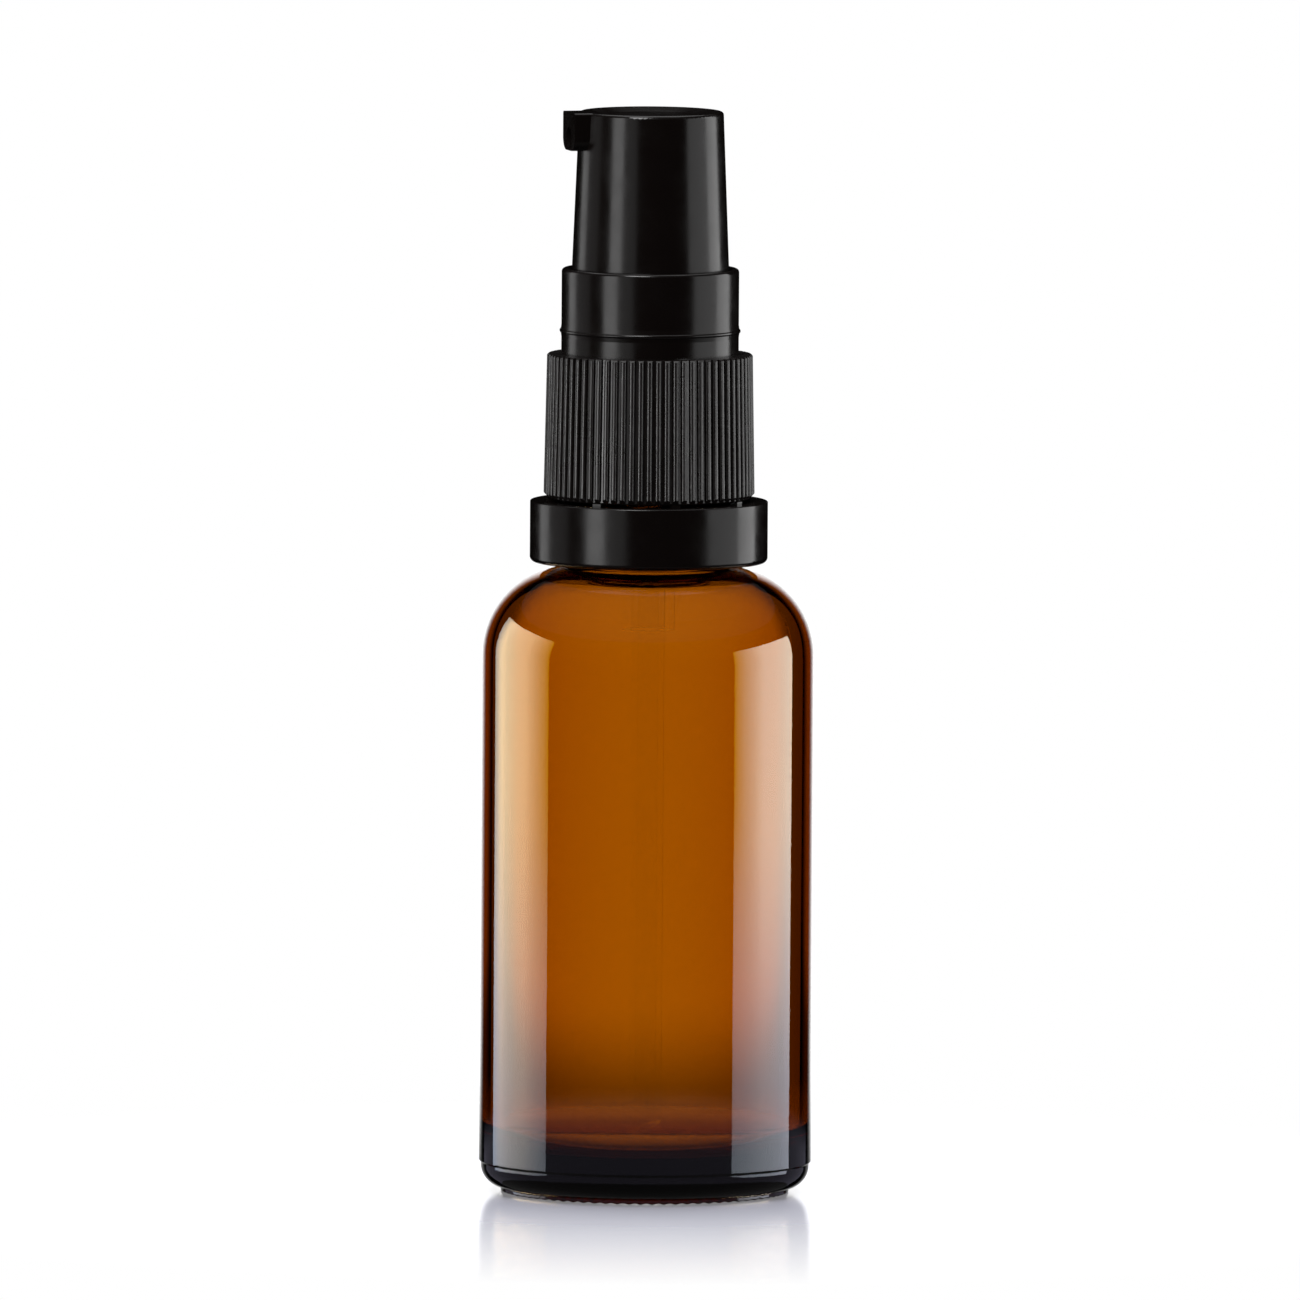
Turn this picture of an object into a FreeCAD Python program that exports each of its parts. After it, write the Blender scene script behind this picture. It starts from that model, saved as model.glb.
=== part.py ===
"""Pump oil bottle: a 30 ml amber glass bottle with a screw-on lotion pump.

Millimetres, +Z up, origin in the middle of the bottle's foot, the spout along -X.
Each piece is drawn about its own base and set on the stack by its Placement.
"""
import FreeCAD
import Part
import Sketcher
import math
import os
import re

# Driving sizes. Each is one cell of the sheet "sizes", with its name as the alias.
SIZES = {
    # Glass bottle
    "body_radius": 16.5,
    "glass_wall": 2.1,
    "heel_height": 2.9,          # where the straight wall ends
    "heel_step": 0.22,           # ledge left by the seam of the mould
    "heel_round": 2.15,
    "foot_radius": 14.3,
    "foot_width": 1.9,
    "foot_height": 0.5,
    "push_up": 1.3,              # hollow under the base
    "base_thickness": 4.3,
    "base_round": 3.0,
    "shoulder_height": 62.4,     # where the shoulder meets the neck
    "shoulder_drop": 1.4,        # fall of the shoulder's slope out to the wall
    "shoulder_round": 8.9,
    "neck_radius": 7.9,
    "neck_height": 16.4,
    "neck_round": 0.8,
    "mouth_radius": 5.9,
    "mouth_round": 2.2,          # inside, where the neck opens into the body
    "rim_round": 0.5,
    "bead_radius": 9.7,          # bead that holds the tamper ring down
    "bead_height": 1.5,
    # Tamper ring
    "ring_radius": 11.8,
    "ring_height": 6.1,
    "ring_clearance": 0.3,       # over the shoulder
    "ring_round": 0.55,
    "ring_play": 0.4,            # round the neck and the bead
    "lip_height": 1.7,
    "bridge_count": 8,
    "bridge_height": 0.3,
    "bridge_width": 0.9,
    "bridge_depth": 0.8,
    # Ribbed screw cap
    "cap_radius": 10.47,         # over the ribs at the bottom
    "cap_radius_top": 10.2,
    "cap_bore": 9.1,
    "cap_hole": 7.0,
    "cap_bevel": 0.5,
    "cap_top_bevel": 0.15,
    "plate_thickness": 1.8,
    "rib_count": 72,
    "rib_depth": 0.36,
    "rib_width": 0.6,
    "rib_round": 0.26,
    # Collar standing on the cap
    "collar_radius": 8.8,
    "collar_floor": 1.0,
    "collar_round": 0.35,
    "spigot_radius": 6.95,
    "spigot_wall": 0.6,
    "spigot_length": 1.4,
    "snap_height": 2.3,          # middle of the snap bead above the cap
    "snap_width": 1.2,
    "snap_depth": 0.09,
    # Actuator
    "button_height": 15.6,       # above the mouth of the collar
    "button_radius": 7.17,       # at the top
    "button_radius_base": 7.86,  # at the foot of the skirt
    "button_wall": 1.2,
    "button_top": 1.5,
    "button_round": 0.35,
    "skirt_overlap": 1.7,        # skirt inside the collar
    "skirt_gap": 1.3,            # under the skirt at the end of the stroke
    "dish_radius": 6.3,
    "dish_depth": 0.45,
    "dish_round": 3.0,
    "spout_reach": 8.45,
    "spout_width": 4.6,
    "spout_height": 3.8,
    "spout_round": 1.3,
    "spout_top_round": 0.25,
    "channel_radius": 0.8,
    "channel_drop": 2.3,         # axis of the channel under the top
    "boss_radius": 3.3,
    "socket_depth": 6.0,
    "web_count": 3,
    "web_width": 0.9,
    "web_height": 6.0,
    # Pump
    "stroke": 4.5,
    "press_gap": 0.4,
    "gasket_thickness": 1.5,
    "flange_radius": 8.2,
    "flange_thickness": 1.3,
    "barrel_radius": 4.4,
    "barrel_bore": 3.3,
    "barrel_rise": 5.4,          # over the underside of the flange
    "chaplet_disc": 1.2,
    "chaplet_skirt": 2.4,
    "chaplet_wall": 0.9,
    "chaplet_round": 0.3,
    "stem_radius": 2.1,
    "stem_bore": 1.3,
    "stop_thickness": 1.0,
    "stem_skirt": 3.2,
    "stem_skirt_radius": 2.6,
    "shank_length": 5.0,
    "piston_height": 5.0,
    "piston_hub": 2.2,
    "piston_waist": 2.75,
    "lip_depth": 0.8,
    "valve_gap": 0.7,            # lost motion of the piston on its rod
    "seat_radius": 2.5,
    "seat_thickness": 1.0,
    "guide_radius": 1.2,
    "guide_length": 3.5,
    "coil_radius": 2.0,
    "coil_count": 6,
    "wire_radius": 0.25,
    "spring_reserve": 0.9,
    "ball_radius": 1.25,
    "ball_lift": 0.8,
    "throat_radius": 1.5,
    "inlet_radius": 0.8,
    "inlet_length": 1.0,
    "nub_count": 3,
    "nub_height": 0.5,
    "nub_reach": 0.55,
    "nub_width": 0.7,
    "vent_radius": 0.3,
    "tail_radius": 2.6,
    "tube_radius": 1.6,
    "tube_bore": 1.0,
    "tube_insertion": 5.5,
    "tube_clearance": 1.2,       # over the floor of the bottle
    "tube_cut": 1.5,             # height of the slant at the lower end
    # Fits
    "push_fit": 0.03,
    "slide_fit": 0.05,
}

# Heights of the stack, each in terms of the sheet's names
RIM = "(shoulder_height + neck_height)"
FLANGE = f"({RIM} + gasket_thickness)"
PLATE = f"({FLANGE} + flange_thickness)"
CAP_TOP = f"({PLATE} + plate_thickness)"
COLLAR_HEIGHT = "(collar_floor + skirt_gap + stroke + skirt_overlap)"
MOUTH = f"({CAP_TOP} + {COLLAR_HEIGHT})"
RING = "(shoulder_height + ring_clearance)"
CAP = f"({RING} + ring_height + bridge_height)"
CHAPLET = f"({FLANGE} + barrel_rise)"
BOSS = f"({CHAPLET} + chaplet_disc + stroke + press_gap)"
STEM = f"({CHAPLET} - stop_thickness - stem_skirt)"
PISTON = f"({STEM} - valve_gap - piston_height)"
SPRING_LENGTH = "((coil_count + 1) * 2 * wire_radius + stroke + spring_reserve)"
LEDGE = f"({PISTON} - seat_thickness - {SPRING_LENGTH})"
BALL_RISE = "(sqrt(2) * (ball_radius + push_fit) - inlet_radius)"
SEAT = f"({LEDGE} - nub_height - slide_fit - ball_lift - ball_radius - {BALL_RISE})"
SOCKET = f"({SEAT} - inlet_length)"
TUBE = "(base_thickness + tube_clearance)"

# Spring: points on each arc of the wire when its turns are measured, and the least gap between turns
ARC_POINTS = 12
LEAST_COIL_GAP = 0.4

doc = FreeCAD.newDocument("pump_oil_bottle")
sheet = doc.addObject("Spreadsheet::Sheet", "sizes")
for row, (alias, size) in enumerate(SIZES.items(), start=1):
    sheet.set(f"A{row}", alias)
    sheet.set(f"B{row}", str(size))
    sheet.setAlias(f"B{row}", alias)
doc.recompute()


def bound(text):
    """The expression with each size's name pointed at its cell."""
    return re.sub(r"[a-z_]+", lambda word: "sizes." + word[0] if word[0] in SIZES else word[0], text)


def value(text):
    """The number that an expression has now."""
    return float(sheet.evalExpression(bound(text)))


def origin_plane(body, role):
    return next(item for item in body.Origin.OriginFeatures if item.Role == role)


def new_sketch(body, name, plane, offset="0"):
    """An empty sketch on one of the body's own planes, moved along its normal by the offset."""
    sketch = body.newObject("Sketcher::SketchObject", name)
    sketch.AttachmentSupport = [(origin_plane(body, plane), "")]
    sketch.MapMode = "FlatFace"
    sketch.setExpression("AttachmentOffset.Base.z", bound(offset))
    return sketch


def pin_point(sketch, geometry, place, across, up):
    """Hold a point of the sketch at the two expressions."""
    for kind, axis, text in (("DistanceX", -2, across), ("DistanceY", -1, up)):
        if text == "0":
            sketch.addConstraint(Sketcher.Constraint("PointOnObject", geometry, place, axis))
            continue
        index = sketch.addConstraint(Sketcher.Constraint(kind, -1, 1, geometry, place, value(text)))
        sketch.setExpression(f"Constraints[{index}]", bound(text))


def corner_arc(before, corner, after, radius):
    """The arc that rounds a corner: its ends, the arc itself and whether it turns left."""
    back = (before - corner).normalize()
    ahead = (after - corner).normalize()
    half = back.getAngle(ahead) / 2
    run = radius / math.tan(half)
    start = corner + back * run
    end = corner + ahead * run
    centre = corner + (back + ahead).normalize() * (radius / math.sin(half))
    left = back.cross(ahead).z < 0
    angles = [math.atan2(point.y - centre.y, point.x - centre.x) for point in (start, end)]
    if not left:
        angles.reverse()
    circle = Part.Circle(centre, FreeCAD.Vector(0, 0, 1), radius)
    return start, end, Part.ArcOfCircle(circle, angles[0], angles[1]), left


def outline(body, name, corners, plane="XZ_Plane", offset="0"):
    """A closed sketch through the corners, each (across, up) or (across, up, radius)."""
    sketch = new_sketch(body, name, plane, offset)
    points = [FreeCAD.Vector(value(corner[0]), value(corner[1]), 0) for corner in corners]
    count = len(points)
    starts = list(points)
    ends = list(points)
    arcs = {}
    for i, corner in enumerate(corners):
        if len(corner) > 2:
            around = (points[i - 1], points[i], points[(i + 1) % count])
            ends[i], starts[i], arc, left = corner_arc(*around, value(corner[2]))
            arcs[i] = (arc, left)
    for i in range(count):
        sketch.addGeometry(Part.LineSegment(starts[i], ends[(i + 1) % count]), False)
    for i, corner in enumerate(corners):
        before = (i - 1) % count
        if i not in arcs:
            sketch.addConstraint(Sketcher.Constraint("Coincident", before, 2, i, 1))
            pin_point(sketch, i, 1, corner[0], corner[1])
            continue
        arc, left = arcs[i]
        bend = sketch.addGeometry(arc, False)
        first, last = (1, 2) if left else (2, 1)
        sketch.addConstraint(Sketcher.Constraint("Tangent", before, 2, bend, first))
        sketch.addConstraint(Sketcher.Constraint("Tangent", bend, last, i, 1))
        index = sketch.addConstraint(Sketcher.Constraint("Radius", bend, value(corner[2])))
        sketch.setExpression(f"Constraints[{index}]", bound(corner[2]))
        point = sketch.addGeometry(Part.Point(points[i]), True)
        sketch.addConstraint(Sketcher.Constraint("PointOnObject", point, 1, before))
        sketch.addConstraint(Sketcher.Constraint("PointOnObject", point, 1, i))
        pin_point(sketch, point, 1, corner[0], corner[1])
    return sketch


def disc(body, name, radius, plane, across="0", up="0", offset="0"):
    """A sketch of one circle."""
    sketch = new_sketch(body, name, plane, offset)
    centre = FreeCAD.Vector(value(across), value(up), 0)
    sketch.addGeometry(Part.Circle(centre, FreeCAD.Vector(0, 0, 1), value(radius)), False)
    index = sketch.addConstraint(Sketcher.Constraint("Radius", 0, value(radius)))
    sketch.setExpression(f"Constraints[{index}]", bound(radius))
    pin_point(sketch, 0, 3, across, up)
    return sketch


def place(piece, height):
    piece.setExpression("Placement.Base.z", bound(height))
    return piece


def turned(label, corners):
    """A body turned about Z from its half section."""
    body = doc.addObject("PartDesign::Body", label)
    turn = body.newObject("PartDesign::Revolution", label + "_turn")
    turn.Profile = outline(body, label + "_section", corners)
    turn.ReferenceAxis = (turn.Profile[0], ["V_Axis"])
    turn.Angle = 360
    body.Tip = turn
    return body


def turned_cut(body, name, corners):
    """A cut turned about Z."""
    cut = body.newObject("PartDesign::Groove", name)
    cut.Profile = outline(body, name + "_section", corners)
    cut.ReferenceAxis = (cut.Profile[0], ["V_Axis"])
    cut.Angle = 360
    body.Tip = cut
    return cut


def extruded(body, kind, name, sketch, length, reverse=False):
    """A Pad or Pocket of the sketch."""
    feature = body.newObject("PartDesign::" + kind, name)
    feature.Profile = sketch
    feature.setExpression("Length", bound(length))
    feature.Reversed = reverse
    body.Tip = feature
    return feature


def repeated(body, feature, count):
    """The feature repeated evenly round Z."""
    doc.recompute()
    pattern = body.newObject("PartDesign::PolarPattern", feature.Label + "_pattern")
    pattern.Originals = [feature]
    pattern.Axis = (origin_plane(body, "Z_Axis"), [""])
    pattern.Angle = 360
    pattern.setExpression("Occurrences", bound(count))
    body.Tip = pattern
    return pattern


def block(near, far, width):
    """Corners of a rectangle across X, even about it."""
    return [(near, f"-{width} / 2"), (far, f"-{width} / 2"), (far, f"{width} / 2"), (near, f"{width} / 2")]


def bottle():
    """Glass bottle with a stepped heel, a proud foot, a round shoulder and the neck's bead."""
    heel = "body_radius - heel_step"
    inner = "body_radius - glass_wall"
    foot_inner = "foot_radius - foot_width"
    bead_low = f"{RING} + lip_height + ring_play"
    throat = "shoulder_height - glass_wall"
    return turned("bottle", [
        ("0", "push_up"),
        (foot_inner + " - foot_width", "push_up"),
        (foot_inner, "0"),
        ("foot_radius", "0"),
        ("foot_radius", "foot_height"),
        (heel, "foot_height", "heel_round"),
        (heel, "heel_height"),
        ("body_radius", "heel_height + heel_step"),
        ("body_radius", "shoulder_height - shoulder_drop", "shoulder_round"),
        ("neck_radius", "shoulder_height", "neck_round"),
        ("neck_radius", bead_low),
        ("bead_radius", bead_low, "bead_height / 3"),
        ("bead_radius", f"{bead_low} + bead_height", "bead_height / 3"),
        ("neck_radius", f"{bead_low} + bead_height"),
        ("neck_radius", RIM, "rim_round"),
        ("mouth_radius", RIM, "rim_round"),
        ("mouth_radius", throat, "mouth_round"),
        (inner, f"{throat} - shoulder_drop", "shoulder_round - glass_wall"),
        (inner, "base_thickness", "base_round"),
        ("0", "base_thickness"),
    ])


def tamper_ring():
    """Loose band under the bead, with the bridges that joined it to the cap."""
    lip = "neck_radius + ring_play"
    pocket = "bead_radius + ring_play"
    body = turned("tamper_ring", [
        (lip, "0"),
        ("ring_radius", "0", "ring_round"),
        ("ring_radius", "ring_height", "ring_round / 4"),
        (pocket, "ring_height"),
        (pocket, "lip_height"),
        (lip, "lip_height - ring_play"),
    ])
    base = "ring_height - bridge_height"
    sketch = outline(body, "bridge_section",
                     block(f"{pocket} + bridge_depth / 3 - bridge_depth", f"{pocket} + bridge_depth / 3",
                           "bridge_width"), "XY_Plane", base)
    repeated(body, extruded(body, "Pad", "bridge", sketch, "2 * bridge_height"), "bridge_count")
    return place(body, RING)


def screw_cap():
    """Tapered cap with round-backed ribs down its side."""
    height = f"({CAP_TOP} - {CAP})"
    body = turned("screw_cap", [
        ("cap_bore", "0"),
        ("cap_radius - rib_depth", "0"),
        ("cap_radius_top - rib_depth", height),
        ("cap_hole", height),
        ("cap_hole", f"{height} - plate_thickness"),
        ("cap_bore", f"{height} - plate_thickness"),
    ])
    root = "cap_radius - 2 * rib_depth"
    sketch = outline(body, "rib_section", [
        (root, "-rib_width / 2"),
        ("cap_radius", "-rib_width / 2", "rib_round"),
        ("cap_radius", "rib_width / 2", "rib_round"),
        (root, "rib_width / 2"),
    ], "XY_Plane")
    rib = extruded(body, "Pad", "rib", sketch, height)
    rib.UseCustomVector = True
    rib.AlongSketchNormal = True
    rib.Direction = FreeCAD.Vector(value("cap_radius_top - cap_radius"), 0, value(height))
    rib.setExpression("Direction.x", bound("cap_radius_top - cap_radius"))
    rib.setExpression("Direction.z", bound(height))
    repeated(body, rib, "rib_count")
    turned_cut(body, "cap_bevel", [
        ("cap_radius - cap_bevel", "0"),
        ("cap_radius + cap_bevel", "0"),
        ("cap_radius + cap_bevel", "2 * cap_bevel"),
    ])
    turned_cut(body, "cap_top_bevel", [
        ("cap_radius_top - cap_top_bevel", height),
        ("cap_radius_top + cap_top_bevel", f"{height} - 2 * cap_top_bevel"),
        ("cap_radius_top + cap_top_bevel", height),
    ])
    return place(body, CAP)


def collar():
    """Smooth sleeve on the cap that guides the actuator, with a bead for a dust cap."""
    spigot_bore = "spigot_radius - spigot_wall"
    bore = "button_radius_base + 5 * slide_fit"
    return place(turned("collar", [
        (spigot_bore, "-spigot_length"),
        ("spigot_radius", "-spigot_length"),
        ("spigot_radius", "0"),
        ("collar_radius", "0"),
        ("collar_radius", "snap_height - snap_width / 2"),
        ("collar_radius + snap_depth", "snap_height", "snap_width"),
        ("collar_radius", "snap_height + snap_width / 2"),
        ("collar_radius", COLLAR_HEIGHT, "collar_round"),
        (bore, COLLAR_HEIGHT, "collar_round / 2"),
        (bore, "collar_floor"),
        (spigot_bore, "collar_floor"),
    ]), CAP_TOP)


def gasket():
    """Washer between the rim and the pump's flange."""
    bore = "barrel_radius + 2 * slide_fit"
    return place(turned("gasket", [
        (bore, "0"),
        ("flange_radius", "0"),
        ("flange_radius", "gasket_thickness"),
        (bore, "gasket_thickness"),
    ]), RIM)


def pump_housing():
    """Barrel with its flange, the ball's seat and cage, the vent and the tube's socket."""
    ledge = f"({LEDGE} - {FLANGE})"
    seat = f"({SEAT} - {FLANGE})"
    socket = f"({SOCKET} - {FLANGE})"
    tail = f"({socket} - tube_insertion)"
    tube = "tube_radius + push_fit"
    body = turned("pump_housing", [
        (tube, tail),
        ("tail_radius", tail),
        ("tail_radius", seat),
        ("barrel_radius", ledge),
        ("barrel_radius", "0"),
        ("flange_radius", "0"),
        ("flange_radius", "flange_thickness"),
        ("barrel_radius", "flange_thickness"),
        ("barrel_radius", "barrel_rise"),
        ("barrel_bore", "barrel_rise"),
        ("barrel_bore", ledge),
        ("throat_radius", ledge),
        ("throat_radius", f"{seat} + throat_radius - inlet_radius"),
        ("inlet_radius", seat),
        ("inlet_radius", socket),
        (tube, socket),
    ])
    sketch = outline(body, "nub_section",
                     block("throat_radius - nub_reach", "(throat_radius + barrel_bore) / 2", "nub_width"),
                     "XY_Plane", f"{ledge} - nub_height")
    repeated(body, extruded(body, "Pad", "nub", sketch, "nub_height"), "nub_count")
    vent_height = f"{PISTON} - {FLANGE} + piston_height / 2"
    vent = disc(body, "vent_section", "vent_radius", "YZ_Plane", "0", vent_height)
    extruded(body, "Pocket", "vent", vent, "2 * barrel_radius", True)
    return place(body, FLANGE)


def chaplet():
    """Cap pressed on the barrel, which stops the stem."""
    hole = "stem_radius + slide_fit"
    bore = "barrel_radius + push_fit"
    return place(turned("chaplet", [
        (hole, "0"),
        (bore, "0"),
        (bore, "-chaplet_skirt"),
        (f"{bore} + chaplet_wall", "-chaplet_skirt"),
        (f"{bore} + chaplet_wall", "chaplet_disc", "chaplet_round"),
        (hole, "chaplet_disc"),
    ]), CHAPLET)


def dip_tube():
    """Straight tube to the floor, cut on the slant at its lower end."""
    length = f"({SOCKET} - {TUBE})"
    body = turned("dip_tube", [
        ("tube_bore", "0"),
        ("tube_radius", "0"),
        ("tube_radius", length),
        ("tube_bore", length),
    ])
    slant = outline(body, "slant_section", [
        ("-2 * tube_radius", "-tube_cut / 2"),
        ("2 * tube_radius", "-tube_cut / 2"),
        ("2 * tube_radius", "tube_cut * 1.5"),
    ])
    cut = extruded(body, "Pocket", "slant", slant, "4 * tube_radius")
    cut.Midplane = True
    return place(body, TUBE)


def inlet_ball():
    """Loose ball of the inlet valve."""
    ball = doc.addObject("Part::Sphere", "inlet_ball")
    ball.setExpression("Radius", bound("ball_radius"))
    return place(ball, f"{SEAT} + {BALL_RISE}")


def arc_from(start, way, end):
    """The arc that leaves the start along the given way and reaches the end."""
    chord = end - start
    radius = chord.dot(chord) / (2 * chord.cross(way).Length)
    centre = start + (chord - way * chord.dot(way)).normalize() * radius
    middle = centre + ((start - centre) + (end - centre)).normalize() * radius
    return Part.Arc(start, middle, end).toShape()


def biarc(start, way, end, end_way):
    """Two arcs, smooth where they meet, between two points with given directions."""
    chord = end - start
    both = way + end_way
    bend = 2 * (1 - way.dot(end_way))
    along = chord.dot(both)
    reach = (math.sqrt(along * along + bend * chord.dot(chord)) - along) / bend
    middle = (start + end + (way - end_way) * reach) * 0.5
    first = arc_from(start, way, middle)
    crest = (end - middle).normalize() * 2 * (end - middle).normalize().dot(end_way) - end_way
    second = arc_from(middle, crest, end)
    return [first, second]


def tube_along(arcs, radius):
    """A round tube along smooth arcs, each stretch an exact piece of a torus."""
    first = arcs[0]
    start = first.FirstParameter
    ring = Part.Circle(first.valueAt(start), first.tangentAt(start), radius).toShape()
    faces = [Part.Face(Part.Wire(ring))]
    for arc in arcs:
        curve = arc.Curve
        turn = math.degrees(arc.LastParameter - arc.FirstParameter)
        faces += ring.revolve(curve.Center, curve.Axis, turn).Faces
        ring = ring.copy()
        ring.rotate(curve.Center, curve.Axis, turn)
    faces.append(Part.Face(Part.Wire(ring)))
    shell = Part.Compound(faces)
    shell.sewShape()
    return Part.Solid(shell.Shells[0])


def spring_line():
    """Arcs along the middle of the spring's wire, two to each quarter turn."""
    radius = value("coil_radius")
    rise = value(f"{SPRING_LENGTH} / coil_count") / (2 * math.pi)
    quarters = int(value("4 * coil_count"))

    def point(step):
        angle = step * math.pi / 2
        return FreeCAD.Vector(radius * math.cos(angle), radius * math.sin(angle), rise * angle)

    def way(step):
        angle = step * math.pi / 2
        return FreeCAD.Vector(-radius * math.sin(angle), radius * math.cos(angle), rise).normalize()

    arcs = []
    for step in range(quarters):
        arcs += biarc(point(step), way(step), point(step + 1), way(step + 1))
    return arcs


def coil_gap(arcs):
    """Least open gap from turn to turn, measured on points along the wire."""
    points = []
    for arc in arcs:
        reach = arc.LastParameter - arc.FirstParameter
        points += [arc.valueAt(arc.FirstParameter + reach * i / ARC_POINTS) for i in range(ARC_POINTS)]
    half_turn = 4 * ARC_POINTS
    least = min(
        here.distanceToPoint(there)
        for i, here in enumerate(points)
        for there in points[i + half_turn:]
    )
    return least - 2 * value("wire_radius")


def return_spring():
    """Coil spring under the rod's seat, one tube on quarter-turn arcs with its ends ground flat."""
    arcs = spring_line()
    gap = coil_gap(arcs)
    print("least gap between turns", round(gap, 3))
    if gap < LEAST_COIL_GAP:
        raise RuntimeError("the spring's turns are too close")
    tube = tube_along(arcs, value("wire_radius"))
    space = Part.makeCylinder(value("2 * coil_radius"), value(SPRING_LENGTH))
    spring = doc.addObject("Part::Feature", "return_spring")
    spring.Shape = tube.common(space).Solids[0]
    return place(spring, LEDGE)


def piston():
    """Soft double-lipped piston that floats on the rod."""
    bore = "stem_bore + slide_fit"
    edge = "barrel_bore - slide_fit"
    thin = "lip_depth / 4"
    thick = "lip_depth * 1.25"
    return place(turned("piston", [
        (bore, "0"),
        ("piston_hub", "0"),
        ("piston_hub", "lip_depth"),
        (edge, thin),
        (edge, thick),
        ("piston_waist", "2 * lip_depth"),
        ("piston_waist", "piston_height - 2 * lip_depth"),
        (edge, f"piston_height - {thick}"),
        (edge, f"piston_height - {thin}"),
        ("piston_hub", "piston_height - lip_depth"),
        ("piston_hub", "piston_height"),
        (bore, "piston_height"),
    ]), PISTON)


def piston_rod():
    """Rod with the outlet valve's seat, flats for the oil and a guide for the spring."""
    radius = "stem_bore - push_fit"
    top = "piston_height + valve_gap + shank_length"
    body = turned("piston_rod", [
        ("0", "-seat_thickness - guide_length"),
        ("guide_radius", "-seat_thickness - guide_length", "guide_radius / 3"),
        ("guide_radius", "-seat_thickness"),
        ("seat_radius", "-seat_thickness"),
        ("seat_radius", "0"),
        (radius, "0"),
        (radius, top),
        ("0", top),
    ])
    depth = "stem_bore * 0.7"
    flat = outline(body, "flat_section", block(depth, "2 * stem_bore", "3 * stem_bore"), "XY_Plane", "0")
    repeated(body, extruded(body, "Pocket", "flat", flat, top, True), "2")
    return place(body, PISTON)


def stem():
    """Hollow stem with its stop and the skirt that drives the piston."""
    top = f"({BOSS} + socket_depth - {STEM})"
    return place(turned("stem", [
        ("stem_bore", "0"),
        ("stem_skirt_radius", "0"),
        ("stem_skirt_radius", "stem_skirt"),
        ("barrel_bore - 4 * slide_fit", "stem_skirt"),
        ("barrel_bore - 4 * slide_fit", "stem_skirt + stop_thickness"),
        ("stem_radius", "stem_skirt + stop_thickness"),
        ("stem_radius", top),
        ("stem_bore", top),
    ]), STEM)


def actuator():
    """Tapered button with its spout, dished top, skirt, socket and oil channel."""
    boss = f"({BOSS} - {MOUTH})"
    ceiling = f"({boss} + socket_depth)"
    socket = "stem_radius + slide_fit"
    channel = "(button_height - channel_drop)"
    body = turned("actuator", [
        ("button_radius_base", "-skirt_overlap"),
        ("button_radius", "button_height", "button_round"),
        ("0", "button_height"),
        ("0", ceiling),
        (socket, ceiling),
        (socket, boss),
        ("boss_radius", boss),
        ("boss_radius", "button_height - button_top"),
        ("button_radius - button_wall", "button_height - button_top"),
        ("button_radius_base - button_wall", "-skirt_overlap"),
    ])
    section = [
        ("-spout_width / 2", "button_height", "spout_top_round"),
        ("-spout_width / 2", "button_height - spout_height", "spout_round"),
        ("spout_width / 2", "button_height - spout_height", "spout_round"),
        ("spout_width / 2", "button_height", "spout_top_round"),
    ]
    spout = outline(body, "spout_section", section, "YZ_Plane")
    extruded(body, "Pad", "spout", spout, "spout_reach", True)
    web = outline(body, "web_section",
                  block("boss_radius - web_width / 2", "button_radius - button_wall / 2", "web_width"),
                  "XY_Plane", "button_height - button_top")
    repeated(body, extruded(body, "Pad", "web", web, "web_height", True), "web_count")
    turned_cut(body, "dish", [
        ("0", "button_height - dish_depth"),
        ("dish_radius - dish_depth * 4", "button_height - dish_depth", "dish_round"),
        ("dish_radius", "button_height"),
        ("0", "button_height"),
    ])
    riser = disc(body, "riser_section", "stem_bore", "XY_Plane", offset=ceiling)
    extruded(body, "Pocket", "riser", riser, f"{channel} + channel_radius - {ceiling}", True)
    orifice = disc(body, "channel_section", "channel_radius", "YZ_Plane", "0", channel)
    extruded(body, "Pocket", "channel", orifice, "2 * spout_reach")
    return place(body, MOUTH)


def check_cuts():
    """Each pocket and groove must take something away from what it cuts."""
    for item in doc.Objects:
        if item.TypeId in ("PartDesign::Pocket", "PartDesign::Groove"):
            if item.Shape.Volume >= item.BaseFeature.Shape.Volume - 1e-6:
                raise RuntimeError(item.Label + " cuts nothing")


def check_state(pieces):
    """No feature may be in error and each piece is one sound solid."""
    for item in doc.Objects:
        if "Invalid" in item.State or "Error" in item.State:
            raise RuntimeError(item.Label + " is " + ", ".join(item.State))
    for piece in pieces:
        if piece.Shape.isNull() or not piece.Shape.isValid() or len(piece.Shape.Solids) != 1:
            raise RuntimeError(piece.Label + " is not one sound solid")


def main():
    pieces = [
        bottle(), tamper_ring(), screw_cap(), collar(), gasket(), pump_housing(), chaplet(), dip_tube(),
        inlet_ball(), return_spring(), piston(), piston_rod(), stem(), actuator(),
    ]
    doc.recompute()
    check_state(pieces)
    check_cuts()
    os.makedirs("parts", exist_ok=True)
    for piece in pieces:
        piece.Shape.exportStep(f"parts/{piece.Label}.step")
        print(piece.Label, round(piece.Shape.Volume, 2))


main()
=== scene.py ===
"""Looks of the pump oil bottle: amber glass, black moulded pump, pale floor and soft studio light."""

import bpy
import math
from mathutils import Matrix, Vector


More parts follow.
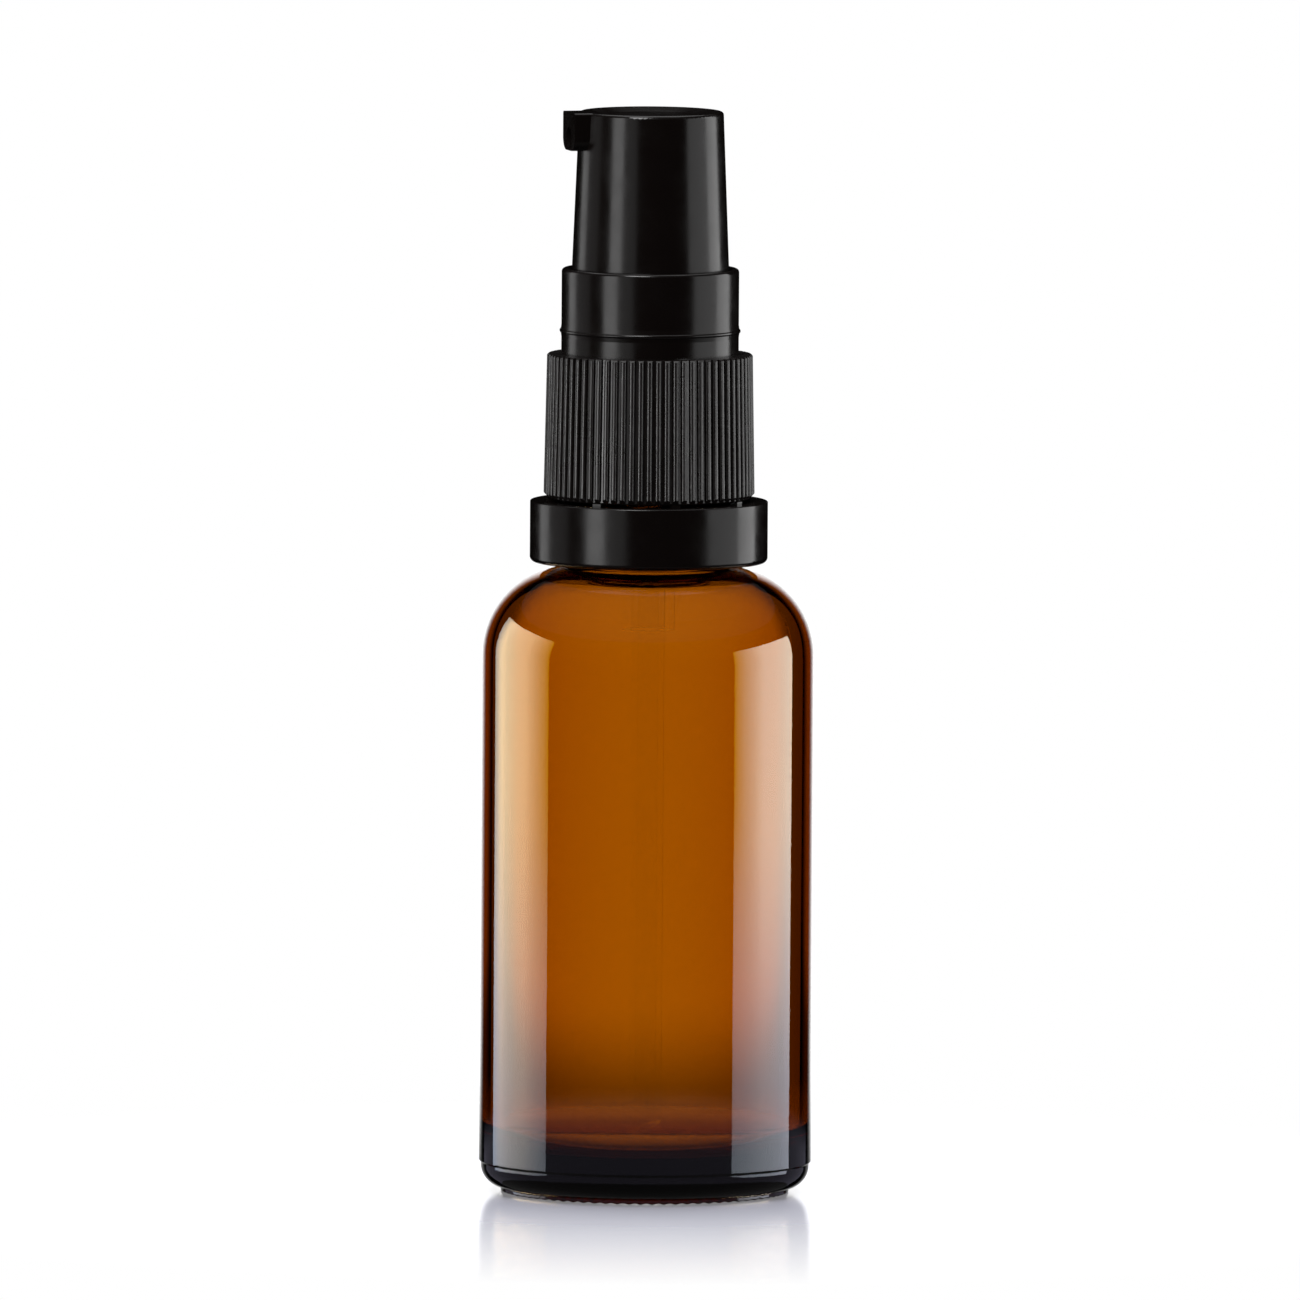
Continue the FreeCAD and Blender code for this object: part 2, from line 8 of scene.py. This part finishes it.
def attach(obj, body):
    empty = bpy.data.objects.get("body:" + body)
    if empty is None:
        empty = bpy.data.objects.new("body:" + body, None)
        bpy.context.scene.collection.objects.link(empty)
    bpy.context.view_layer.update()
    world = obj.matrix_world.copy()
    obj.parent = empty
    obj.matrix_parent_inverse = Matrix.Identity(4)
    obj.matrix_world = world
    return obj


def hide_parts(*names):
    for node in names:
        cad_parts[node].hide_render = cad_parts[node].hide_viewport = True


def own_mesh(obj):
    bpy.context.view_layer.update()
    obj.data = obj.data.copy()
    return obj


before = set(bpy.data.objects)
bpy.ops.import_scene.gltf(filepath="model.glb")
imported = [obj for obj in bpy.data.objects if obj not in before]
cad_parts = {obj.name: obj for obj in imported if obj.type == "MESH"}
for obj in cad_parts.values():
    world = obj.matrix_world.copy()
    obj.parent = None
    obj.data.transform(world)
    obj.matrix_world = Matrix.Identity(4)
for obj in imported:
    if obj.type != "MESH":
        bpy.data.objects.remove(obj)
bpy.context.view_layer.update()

MM = 0.001

# Glass, in millimetres
BODY_RADIUS = 16.5
GLASS_WALL = 2.1
SHOULDER_WALL = 1.2
SHOULDER_HEIGHT = 62.4
SHOULDER_DROP = 1.4
SHOULDER_ROUND = 8.9
INNER_SHOULDER_EASE = 0.5
NECK_RADIUS = 7.9
NECK_ROUND = 0.8
MOUTH_RADIUS = 5.9
THROAT_ROUND = 0.9
RIM_HEIGHT = 78.8
RIM_ROUND = 0.5
BEAD_RADIUS = 9.7
BEAD_LOW = 64.8
BEAD_HIGH = 66.3
BEAD_ROUND = 0.5
BASE_THICKNESS = 4.3
BASE_ROUND = 3.0
PUNT_HEIGHT = 1.3
PUNT_RADIUS = 10.5
PUNT_ROUND = 0.6
FOOT_INNER_RADIUS = 12.4
FOOT_RADIUS = 14.3
FOOT_HEIGHT = 0.5
FOOT_ROUND = 0.2
HEEL_STEP = 0.22
HEEL_ROUND = 2.15
HEEL_HEIGHT = 2.9
HEEL_EDGE_ROUND = 0.05
BODY_EDGE_ROUND = 0.08
SMALL_ROUND = 0.15
ROUND_STEPS = 14

# Stipple of the foot and thread of the neck, in millimetres
STIPPLE_COUNT = 76
STIPPLE_DEPTH = 0.12
STIPPLE_INNER_RADIUS = 12.2
THREAD_PITCH = 3.0
THREAD_DEPTH = 0.9
THREAD_SHARE = 2 / 3
THREAD_LOW = 69.0
THREAD_HIGH = 76.6
THREAD_RUN_IN = 0.8
THREAD_ROW = 0.15
SEGMENTS = STIPPLE_COUNT * 6

# Snap bead of the collar, in millimetres
SNAP_HEIGHT = 85.7
SNAP_RADIUS = 8.76
SNAP_ROUND = 0.22
SNAP_SIDES = 12

# Return spring, in millimetres
SPRING_LOW = 65.9
SPRING_LENGTH = 8.9
SPRING_TURNS = 6
STEPS_A_TURN = 36
COIL_RADIUS = 2.0
WIRE_RADIUS = 0.25
WIRE_SIDES = 10

# Camera: angles in degrees, lens and sensor in millimetres, distances in metres
CAMERA_TURN = -15
CAMERA_RISE = 4.85
CAMERA_ROLL = 0.37
CAMERA_LENS = 1000
CAMERA_SENSOR = 36
CAMERA_CLIP = (0.01, 20)
CAMERA_DISTANCE = 3.583
CAMERA_AIM = Vector((0.0002, 0, 0.0539))

# Floor, in metres, and how much it covers the white behind it in its middle
FLOOR_RADIUS = 0.092
FLOOR_FADE_START = 0.018
FLOOR_COVER = 0.85
ROUND_SIDES = 96

# World: how bright it is in reflections and through the glass
WORLD_REFLECTED = 0.06
WORLD_THROUGH_GLASS = 0.4

# Panels that the glass mirrors: turn and rise in degrees from the camera's side,
# then left, right, low and high edges in metres from the panel's middle
LIGHT_AIM = Vector((0, 0, 0.06))
PANEL_DISTANCE = 0.6
LEFT_PANEL = (-102.7, 6, (-0.33, 0.36, -0.215, 0.17))
RIGHT_PANEL = (97.5, 4, (-0.43, 0.235, -0.195, 0.1))
BACK_PANEL = (180, -3, (-0.35, 0.35, -0.35, 0.35))
LEFT_RADIANCE = 6.6
RIGHT_RADIANCE = 7.2
BACK_RADIANCE = 1.6

# Fades of the panels, in metres: full at, dim at, share of the light left there
LEFT_FADE_DOWN = (-0.118, -0.225, 0.26)
RIGHT_FADE_DOWN = (-0.1, -0.175, 0.36)
BACK_FADE_OUT = (0.14, 0.33, 0.0)
BACK_FADE_DOWN = (-0.073, -0.092, 0.22)

# Colours across the side panels: place from the panel's middle in metres, colour
LEFT_COLOURS = (
    (-0.33, (0.3, 0.3, 0.3)),
    (-0.2, (1.3, 1.0, 0.6)),
    (0.1, (1.4, 1.05, 0.55)),
    (0.36, (0.55, 0.35, 0.0)),
)
RIGHT_COLOURS = (
    (-0.43, (0.45, 0.3, 0.0)),
    (-0.1, (1.25, 1.1, 0.85)),
    (0.235, (1.1, 0.9, 0.7)),
)
PANEL_FOOT_COLOUR = (0.92, 1.12, 1.5, 1)

# Round walls: radius, then low and high edges, in metres
FOOT_WALL = (0.75, (-0.38, -0.067))
FOOT_WALL_RADIANCE = 0.17
FOOT_WALL_FADE_UP = (-0.0762, -0.0692, 0.0)
FOOT_WALL_COLOUR = (1.0, 0.96, 1.25, 1)
SURROUND_WALL = (1.2, (-0.3, 0.7))
SURROUND_RADIANCE = 1.1

# Strips and squares of light: name, turn, rise, width and height in metres, radiance
STRIP_DISTANCE = 0.5
FLOOR_LIGHTS = (
    ("floor_light", 180, 80, 0.6, 0.6, 4.0),
)
RIB_LIGHTS = (
    ("rib_left", -55, 10, 0.1, 0.3, 3.6),
    ("rib_right", 45, 10, 0.1, 0.3, 3.2),
)
PUMP_LIGHTS = (
    ("far_left", -122, 5, 0.15, 0.35, 1.2),
    ("left", -100, 5, 0.27, 0.35, 0.25),
    ("front_left", -53, 5, 0.17, 0.35, 2.5),
    ("near_left", -33, 5, 0.2, 0.35, 0.4),
    ("right", 76, 5, 0.32, 0.35, 1.0),
    ("far_right", 110, 5, 0.26, 0.35, 2.4),
    ("high", -20, 48, 0.2, 0.2, 8.0),
    ("overhead", 180, 75, 0.5, 0.5, 1.2),
)


# Small node helpers

def mapped(tree, value, source, target, smooth=False):
    """A value moved from one range to another, evenly or with soft ends."""
    node = tree.nodes.new("ShaderNodeMapRange")
    if smooth:
        node.interpolation_type = "SMOOTHSTEP"
    node.inputs["From Min"].default_value = source[0]
    node.inputs["From Max"].default_value = source[1]
    node.inputs["To Min"].default_value = target[0]
    node.inputs["To Max"].default_value = target[1]
    tree.links.new(value, node.inputs["Value"])
    return node.outputs["Result"]


def product(tree, first, second):
    """Two values multiplied."""
    node = tree.nodes.new("ShaderNodeMath")
    node.operation = "MULTIPLY"
    tree.links.new(first, node.inputs[0])
    tree.links.new(second, node.inputs[1])
    return node.outputs["Value"]


def own_place(tree):
    """The place on the piece itself."""
    return tree.nodes.new("ShaderNodeTexCoord").outputs["Object"]


def own_axis(tree, axis):
    """One coordinate of the place on the piece itself."""
    axes = tree.nodes.new("ShaderNodeSeparateXYZ")
    tree.links.new(own_place(tree), axes.inputs["Vector"])
    return axes.outputs[axis]


def from_middle(tree):
    """Distance from the piece's own middle."""
    node = tree.nodes.new("ShaderNodeVectorMath")
    node.operation = "LENGTH"
    tree.links.new(own_place(tree), node.inputs[0])
    return node.outputs["Value"]


def noise(tree, scale, detail=4.0):
    """A noise pattern fixed to the piece itself."""
    pattern = tree.nodes.new("ShaderNodeTexNoise")
    pattern.inputs["Scale"].default_value = scale
    pattern.inputs["Detail"].default_value = detail
    tree.links.new(own_place(tree), pattern.inputs["Vector"])
    return pattern.outputs["Fac"]


def vary(tree, socket, scale, low, high):
    """Let a fine pattern move a shader's value between low and high."""
    middle_of_noise = (0.3, 0.7)
    tree.links.new(mapped(tree, noise(tree, scale), middle_of_noise, (low, high)), socket)


def bump(tree, shader, pattern, strength, distance):
    """Raise the surface a little by a pattern."""
    node = tree.nodes.new("ShaderNodeBump")
    node.inputs["Strength"].default_value = strength
    node.inputs["Distance"].default_value = distance
    tree.links.new(pattern, node.inputs["Height"])
    tree.links.new(node.outputs["Normal"], shader.inputs["Normal"])


# Materials of the object and the floor

def new_material(name):
    """A new material with its nodes and its shader."""
    material = bpy.data.materials.new(name)
    material.use_nodes = True
    tree = material.node_tree
    return material, tree, tree.nodes["Principled BSDF"]


def amber_glass():
    """Blown amber glass: colour from its thickness, a faint ripple in its surface."""
    material, tree, shader = new_material("amber_glass")
    shader.inputs["Base Color"].default_value = (1, 1, 1, 1)
    shader.inputs["Roughness"].default_value = 0.0
    shader.inputs["IOR"].default_value = 1.5
    shader.inputs["Transmission Weight"].default_value = 1.0
    volume = tree.nodes.new("ShaderNodeVolumeAbsorption")
    volume.inputs["Color"].default_value = (0.837, 0.668, 0.0, 1)
    volume.inputs["Density"].default_value = 2030
    tree.links.new(volume.outputs["Volume"], tree.nodes["Material Output"].inputs["Volume"])
    bump(tree, shader, noise(tree, scale=60, detail=1.0), strength=0.05, distance=0.0002)
    return material


def black_plastic(name, roughness, ior):
    """Black moulded polypropylene with a fine skin and slight changes of gloss."""
    material, tree, shader = new_material(name)
    shader.inputs["Base Color"].default_value = (0.0065, 0.0045, 0.004, 1)
    shader.inputs["IOR"].default_value = ior
    vary(tree, shader.inputs["Roughness"], scale=400, low=roughness - 0.04, high=roughness + 0.05)
    bump(tree, shader, noise(tree, scale=5000, detail=2.0), strength=0.06, distance=0.00002)
    return material


def natural_plastic(name, haze):
    """Natural polyethylene, clear with a little haze."""
    material, tree, shader = new_material(name)
    shader.inputs["Base Color"].default_value = (0.98, 0.98, 0.97, 1)
    shader.inputs["IOR"].default_value = 1.01
    shader.inputs["Transmission Weight"].default_value = 1.0
    vary(tree, shader.inputs["Roughness"], scale=900, low=haze - 0.03, high=haze + 0.05)
    return material


def foam_white():
    """Foamed washer, white and pitted."""
    material, tree, shader = new_material("foam_white")
    shader.inputs["Base Color"].default_value = (0.82, 0.82, 0.8, 1)
    shader.inputs["Roughness"].default_value = 0.7
    bump(tree, shader, noise(tree, scale=3000), strength=0.4, distance=0.00005)
    return material


def steel():
    """Drawn steel wire and ground ball."""
    material, tree, shader = new_material("steel")
    shader.inputs["Base Color"].default_value = (0.6, 0.6, 0.61, 1)
    shader.inputs["Metallic"].default_value = 1.0
    vary(tree, shader.inputs["Roughness"], scale=2500, low=0.15, high=0.3)
    return material


def pale_floor():
    """Pale studio floor with a soft sheen that fades into the white around it."""
    material, tree, shader = new_material("pale_floor")
    shader.inputs["Base Color"].default_value = (0.74, 0.75, 0.95, 1)
    shader.inputs["Roughness"].default_value = 0.12
    shader.inputs["IOR"].default_value = 1.5
    cover = mapped(tree, from_middle(tree), (FLOOR_FADE_START, FLOOR_RADIUS), (FLOOR_COVER, 0.0))
    tree.links.new(cover, shader.inputs["Alpha"])
    return material


# Shapes that are finer than the CAD nodes they stand in for

def add_object(name, points, faces, material):
    """A new object in the scene from points and faces."""
    mesh = bpy.data.meshes.new(name)
    mesh.from_pydata(points, [], faces)
    mesh.materials.append(material)
    item = bpy.data.objects.new(name, mesh)
    bpy.context.collection.objects.link(item)
    return item


def add_piece(name, points, faces, material, body):
    """A smooth piece that rides on a body of the frame."""
    piece = add_object(name, points, faces, material)
    polygons = piece.data.polygons
    polygons.foreach_set("use_smooth", [True] * len(polygons))
    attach(piece, body)
    return piece


def ring_faces(first, second, count):
    """Quads between two rings of points."""
    return [(first + i, first + (i + 1) % count, second + (i + 1) % count, second + i) for i in range(count)]


def turned_over(faces):
    """The same faces seen from their other side."""
    return [tuple(reversed(face)) for face in faces]


def in_metres(radius, angle, height):
    """A point in metres from a radius and a height in millimetres."""
    return (radius * math.cos(angle) * MM, radius * math.sin(angle) * MM, height * MM)


def arc_at(corner, before, after, radius):
    """Points of the arc that rounds a corner between its two neighbours."""
    back = (before - corner).normalized()
    ahead = (after - corner).normalized()
    half = back.angle(ahead) / 2
    centre = corner + (back + ahead).normalized() * (radius / math.sin(half))
    start = corner + back * (radius / math.tan(half)) - centre
    end = corner + ahead * (radius / math.tan(half)) - centre
    sweep = start.angle_signed(end)
    turns = [Matrix.Rotation(-sweep * step / ROUND_STEPS, 2) for step in range(ROUND_STEPS + 1)]
    return [centre + turn @ start for turn in turns]


def rounded(corners):
    """Points along corners given as (radius, height) or (radius, height, round)."""
    places = [Vector(corner[:2]) for corner in corners]
    points = []
    for i, corner in enumerate(corners):
        if len(corner) == 2:
            points.append(places[i])
        else:
            points += arc_at(places[i], places[i - 1], places[i + 1], corner[2])
    return points


def neck_rows():
    """Close rows up the neck, so that the thread comes out smooth."""
    low = BEAD_HIGH + 2 * SMALL_ROUND
    high = RIM_HEIGHT - 2 * RIM_ROUND
    count = round((high - low) / THREAD_ROW)
    return [(NECK_RADIUS, low + (high - low) * i / count) for i in range(count + 1)]


def glass_section():
    """Section of the bottle from the middle of its base, out, up and back inside."""
    heel = BODY_RADIUS - HEEL_STEP
    inner = BODY_RADIUS - GLASS_WALL
    throat = SHOULDER_HEIGHT - SHOULDER_WALL
    inner_round = SHOULDER_ROUND - SHOULDER_WALL - INNER_SHOULDER_EASE
    return rounded([
        (0, PUNT_HEIGHT),
        (PUNT_RADIUS, PUNT_HEIGHT, PUNT_ROUND),
        (FOOT_INNER_RADIUS, 0, FOOT_ROUND),
        (FOOT_RADIUS, 0, SMALL_ROUND),
        (FOOT_RADIUS, FOOT_HEIGHT, SMALL_ROUND),
        (heel, FOOT_HEIGHT, HEEL_ROUND),
        (heel, HEEL_HEIGHT, HEEL_EDGE_ROUND),
        (BODY_RADIUS, HEEL_HEIGHT + HEEL_STEP, BODY_EDGE_ROUND),
        (BODY_RADIUS, SHOULDER_HEIGHT - SHOULDER_DROP, SHOULDER_ROUND),
        (NECK_RADIUS, SHOULDER_HEIGHT, NECK_ROUND),
        (NECK_RADIUS, BEAD_LOW, SMALL_ROUND),
        (BEAD_RADIUS, BEAD_LOW, BEAD_ROUND),
        (BEAD_RADIUS, BEAD_HIGH, BEAD_ROUND),
        (NECK_RADIUS, BEAD_HIGH, SMALL_ROUND),
        *neck_rows(),
        (NECK_RADIUS, RIM_HEIGHT, RIM_ROUND),
        (MOUTH_RADIUS, RIM_HEIGHT, RIM_ROUND),
        (MOUTH_RADIUS, throat, THROAT_ROUND),
        (inner, throat - SHOULDER_DROP, inner_round),
        (inner, BASE_THICKNESS, BASE_ROUND),
        (0, BASE_THICKNESS),
    ])


def thread_ridge(height, angle):
    """How far the screw thread stands out of the neck: a round ridge over a share of the pitch."""
    ends = min(1.0, (height - THREAD_LOW) / THREAD_RUN_IN, (THREAD_HIGH - height) / THREAD_RUN_IN)
    turns = height / THREAD_PITCH - angle / (2 * math.pi)
    across = (turns - round(turns)) / THREAD_SHARE
    if ends <= 0 or abs(across) >= 0.5:
        return 0.0
    return THREAD_DEPTH * ends * math.cos(math.pi * across)


def stipple_rise(height, angle):
    """How far the notches of the stippled foot lift its lower edge."""
    notch = 0.5 + 0.5 * math.cos(STIPPLE_COUNT * angle)
    return STIPPLE_DEPTH * (1 - height / FOOT_HEIGHT) * notch


def glass_point(radius, height, angle, outside):
    """A point of the glass in metres, with the thread and the stippled foot."""
    if outside and height > THREAD_LOW:
        radius += thread_ridge(height, angle)
    if height < FOOT_HEIGHT and radius > STIPPLE_INNER_RADIUS:
        height += stipple_rise(height, angle)
    return in_metres(radius, angle, height)


def glass_bottle(material):
    """The bottle turned finely from its section."""
    section = glass_section()
    rim = max(range(len(section)), key=lambda i: section[i].y)
    points = [in_metres(0, 0, section[0].y)]
    for row, (radius, height) in enumerate(section[1:-1], start=1):
        for step in range(SEGMENTS):
            points.append(glass_point(radius, height, 2 * math.pi * step / SEGMENTS, row < rim))
    points.append(in_metres(0, 0, section[-1].y))
    rows = [1 + row * SEGMENTS for row in range(len(section) - 2)]
    faces = [(0, 1 + (i + 1) % SEGMENTS, 1 + i) for i in range(SEGMENTS)]
    for lower, upper in zip(rows, rows[1:]):
        faces += ring_faces(lower, upper, SEGMENTS)
    last = rows[-1]
    faces += [(last + i, last + (i + 1) % SEGMENTS, len(points) - 1) for i in range(SEGMENTS)]
    piece = add_piece("glass_bottle", points, faces, material, "glass")
    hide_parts("bottle")
    return piece


def snap_bead(material):
    """The crisp round crest of the collar's bead."""
    points = []
    for step in range(SEGMENTS):
        angle = 2 * math.pi * step / SEGMENTS
        for side in range(SNAP_SIDES):
            tilt = 2 * math.pi * side / SNAP_SIDES
            reach = SNAP_RADIUS + SNAP_ROUND * math.cos(tilt)
            points.append(in_metres(reach, angle, SNAP_HEIGHT + SNAP_ROUND * math.sin(tilt)))
    faces = []
    for step in range(SEGMENTS):
        faces += ring_faces(step * SNAP_SIDES, (step + 1) % SEGMENTS * SNAP_SIDES, SNAP_SIDES)
    return add_piece("snap_bead", points, turned_over(faces), material, "closure")


def coil_spring(material):
    """Return spring: a helix of round wire."""
    steps = SPRING_TURNS * STEPS_A_TURN
    points = []
    for step in range(steps + 1):
        angle = 2 * math.pi * step / STEPS_A_TURN
        height = SPRING_LOW + WIRE_RADIUS + (SPRING_LENGTH - 2 * WIRE_RADIUS) * step / steps
        for side in range(WIRE_SIDES):
            tilt = 2 * math.pi * side / WIRE_SIDES
            reach = COIL_RADIUS + WIRE_RADIUS * math.cos(tilt)
            points.append(in_metres(reach, angle, height + WIRE_RADIUS * math.sin(tilt)))
    faces = [tuple(range(WIRE_SIDES))]
    for step in range(steps):
        faces += ring_faces(step * WIRE_SIDES, (step + 1) * WIRE_SIDES, WIRE_SIDES)
    far_end = range(steps * WIRE_SIDES, (steps + 1) * WIRE_SIDES)
    faces.append(tuple(reversed(far_end)))
    piece = add_piece("coil_spring", points, turned_over(faces), material, "pump")
    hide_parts("return_spring")
    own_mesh(piece)


def dress(material, *names):
    """Put a material on CAD nodes."""
    for name in names:
        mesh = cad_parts[name].data
        mesh.materials.clear()
        mesh.materials.append(material)


# Glowing materials of the lights

def dimming(tree, position, fade, full=1.0):
    """A full value over most of a panel, then softly down to a share of it from one place to another."""
    full_at, dim_at, share = fade
    return mapped(tree, position, (full_at, dim_at), (full, full * share), smooth=True)


def colours_across(tree, position, stops):
    """Colours at places along a line, blended between them."""
    first = stops[0][0]
    last = stops[-1][0]
    blend = tree.nodes.new("ShaderNodeValToRGB")
    elements = blend.color_ramp.elements
    while len(elements) < len(stops):
        elements.new(0.5)
    for element, (place, colour) in zip(elements, stops):
        element.position = (place - first) / (last - first)
        element.color = (*colour, 1)
    tree.links.new(mapped(tree, position, (first, last), (0.0, 1.0)), blend.inputs["Fac"])
    return blend.outputs["Color"]


def new_emitter(name):
    """A new glowing material with its nodes and its emission."""
    material, tree, shader = new_material(name)
    tree.nodes.remove(shader)
    emission = tree.nodes.new("ShaderNodeEmission")
    tree.links.new(emission.outputs["Emission"], tree.nodes["Material Output"].inputs["Surface"])
    return material, tree, emission


def side_glow(name, radiance, colours, fade_down):
    """Warm white with its own colours across, dimmer and cooler towards the foot."""
    material, tree, emission = new_emitter(name)
    height = own_axis(tree, "Y")
    mix = tree.nodes.new("ShaderNodeMixRGB")
    mix.inputs["Color1"].default_value = PANEL_FOOT_COLOUR
    tree.links.new(dimming(tree, height, fade_down), mix.inputs["Fac"])
    tree.links.new(colours_across(tree, own_axis(tree, "X"), colours), mix.inputs["Color2"])
    tree.links.new(mix.outputs["Color"], emission.inputs["Color"])
    tree.links.new(dimming(tree, height, fade_down, radiance), emission.inputs["Strength"])
    return material


def back_glow():
    """White, fading out round its middle and dimmer towards the foot."""
    material, tree, emission = new_emitter("glass_back")
    round_middle = dimming(tree, from_middle(tree), BACK_FADE_OUT, BACK_RADIANCE)
    to_foot = dimming(tree, own_axis(tree, "Y"), BACK_FADE_DOWN)
    tree.links.new(product(tree, round_middle, to_foot), emission.inputs["Strength"])
    return material


def foot_glow():
    """Faint and cool, fading out towards its top edge."""
    material, tree, emission = new_emitter("glass_foot")
    emission.inputs["Color"].default_value = FOOT_WALL_COLOUR
    strength = dimming(tree, own_axis(tree, "Z"), FOOT_WALL_FADE_UP, FOOT_WALL_RADIANCE)
    tree.links.new(strength, emission.inputs["Strength"])
    return material


def surround_glow():
    """Even white."""
    material, _, emission = new_emitter("surround")
    emission.inputs["Strength"].default_value = SURROUND_RADIANCE
    return material


# Studio: each light reaches only the pieces in one collection

def lit_pieces(name, *pieces):
    """A collection that a light can be set to reach."""
    group = bpy.data.collections.new(name)
    for piece in pieces:
        group.objects.link(piece)
    return group


def direction(turn, rise):
    """Unit vector towards a place round the object; turn 0 is the camera's side, positive to its right."""
    angle = math.radians(CAMERA_TURN + turn)
    flat = math.cos(math.radians(rise))
    return Vector((math.sin(angle) * flat, -math.cos(angle) * flat, math.sin(math.radians(rise))))


def face_object(light, turn, rise, distance):
    """Stand a light at a distance and turn it to the object."""
    way = direction(turn, rise)
    light.location = LIGHT_AIM + way * distance
    light.rotation_mode = "QUATERNION"
    light.rotation_quaternion = way.to_track_quat("Z", "Y")


def hide_and_link(light, lit):
    """Keep a light out of the picture and let it reach one collection."""
    light.visible_camera = False
    light.light_linking.receiver_collection = lit


def softbox(place, material, lit, shows_through):
    """A flat panel that the glass mirrors; it may also show through the glass."""
    turn, rise, (left, right, low, high) = place
    corners = [(left, low, 0), (right, low, 0), (right, high, 0), (left, high, 0)]
    panel = add_object(material.name, corners, [(3, 2, 1, 0)], material)
    face_object(panel, turn, rise, PANEL_DISTANCE)
    panel.visible_transmission = shows_through
    hide_and_link(panel, lit)


def round_wall(place, material, lit):
    """A wall all round that is mirrored but doesn't show through the glass."""
    radius, heights = place
    points = []
    for side in range(ROUND_SIDES):
        angle = 2 * math.pi * side / ROUND_SIDES
        points += [(radius * math.cos(angle), radius * math.sin(angle), height) for height in heights]
    count = len(points)
    faces = [(i, i + 1, (i + 3) % count, (i + 2) % count) for i in range(0, count, 2)]
    wall = add_object(material.name, points, faces, material)
    wall.visible_transmission = False
    hide_and_link(wall, lit)


def area_lights(table, lit):
    """Plain strips and squares of light, nearer than the panels."""
    for name, turn, rise, width, height, radiance in table:
        light = bpy.data.lights.new(name, "AREA")
        light.shape = "RECTANGLE"
        light.size = width
        light.size_y = height
        light.energy = radiance * math.pi * width * height
        lamp = bpy.data.objects.new(name, light)
        bpy.context.collection.objects.link(lamp)
        face_object(lamp, turn, rise, STRIP_DISTANCE)
        hide_and_link(lamp, lit)


def floor(material):
    """A round pale floor that the glass doesn't mirror."""
    angles = [2 * math.pi * side / ROUND_SIDES for side in range(ROUND_SIDES)]
    points = [(FLOOR_RADIUS * math.cos(angle), FLOOR_RADIUS * math.sin(angle), 0) for angle in angles]
    plane = add_object("floor", points, [tuple(range(ROUND_SIDES))], material)
    plane.visible_glossy = False
    return plane


def studio_world():
    """White to the eye, dim in reflections, brighter than that through the glass."""
    world = bpy.data.worlds.new("studio")
    bpy.context.scene.world = world
    world.use_nodes = True
    tree = world.node_tree
    path = tree.nodes.new("ShaderNodeLightPath")
    levels = (WORLD_REFLECTED, WORLD_THROUGH_GLASS)
    through = mapped(tree, path.outputs["Is Transmission Ray"], (0.0, 1.0), levels)
    pick = tree.nodes.new("ShaderNodeMath")
    pick.operation = "MAXIMUM"
    tree.links.new(through, pick.inputs[0])
    tree.links.new(path.outputs["Is Camera Ray"], pick.inputs[1])
    background = tree.nodes["Background"]
    background.inputs["Color"].default_value = (1, 1, 1, 1)
    tree.links.new(pick.outputs["Value"], background.inputs["Strength"])


def studio_lights(glass, ground, bead):
    """Panels for the glass, light for the floor, strips for the black mouldings."""
    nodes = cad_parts
    glass_only = lit_pieces("glass_only", glass)
    floor_only = lit_pieces("floor_only", ground)
    left_glow = side_glow("glass_left", LEFT_RADIANCE, LEFT_COLOURS, LEFT_FADE_DOWN)
    right_glow = side_glow("glass_right", RIGHT_RADIANCE, RIGHT_COLOURS, RIGHT_FADE_DOWN)
    softbox(LEFT_PANEL, left_glow, glass_only, shows_through=False)
    softbox(RIGHT_PANEL, right_glow, glass_only, shows_through=False)
    softbox(BACK_PANEL, back_glow(), lit_pieces("glass_and_floor", glass, ground), shows_through=True)
    round_wall(FOOT_WALL, foot_glow(), glass_only)
    round_wall(SURROUND_WALL, surround_glow(), floor_only)
    area_lights(FLOOR_LIGHTS, floor_only)
    area_lights(RIB_LIGHTS, lit_pieces("cap_only", nodes["screw_cap"]))
    mouldings = [nodes[name] for name in ("tamper_ring", "screw_cap", "collar", "actuator")]
    area_lights(PUMP_LIGHTS, lit_pieces("mouldings", *mouldings, bead))


def camera():
    """The photo's view: from a little above, through a very long lens."""
    data = bpy.data.cameras.new("camera")
    data.lens = CAMERA_LENS
    data.sensor_width = CAMERA_SENSOR
    data.clip_start, data.clip_end = CAMERA_CLIP
    eye = bpy.data.objects.new("camera", data)
    bpy.context.collection.objects.link(eye)
    back = direction(0, CAMERA_RISE)
    eye.location = CAMERA_AIM + back * CAMERA_DISTANCE
    level = (-back).to_track_quat("-Z", "Y").to_matrix()
    look = level @ Matrix.Rotation(math.radians(CAMERA_ROLL), 3, "Z")
    eye.rotation_mode = "QUATERNION"
    eye.rotation_quaternion = look.to_quaternion()
    bpy.context.scene.camera = eye


black = black_plastic("black_gloss", roughness=0.2, ior=1.49)
ribbed = black_plastic("black_ribbed", roughness=0.28, ior=1.7)
clear = natural_plastic("natural_plastic", haze=0.04)
soft_clear = natural_plastic("soft_natural", haze=0.3)
metal = steel()

glass_piece = glass_bottle(amber_glass())
bead_piece = snap_bead(black)
coil_spring(metal)
dress(black, "tamper_ring", "collar", "actuator")
dress(ribbed, "screw_cap")
dress(clear, "pump_housing", "chaplet", "dip_tube", "piston_rod", "stem")
dress(soft_clear, "piston")
dress(foam_white(), "gasket")
dress(metal, "inlet_ball")

studio_world()
studio_lights(glass_piece, floor(pale_floor()), bead_piece)
camera()
bpy.context.scene.view_settings.view_transform = "Standard"
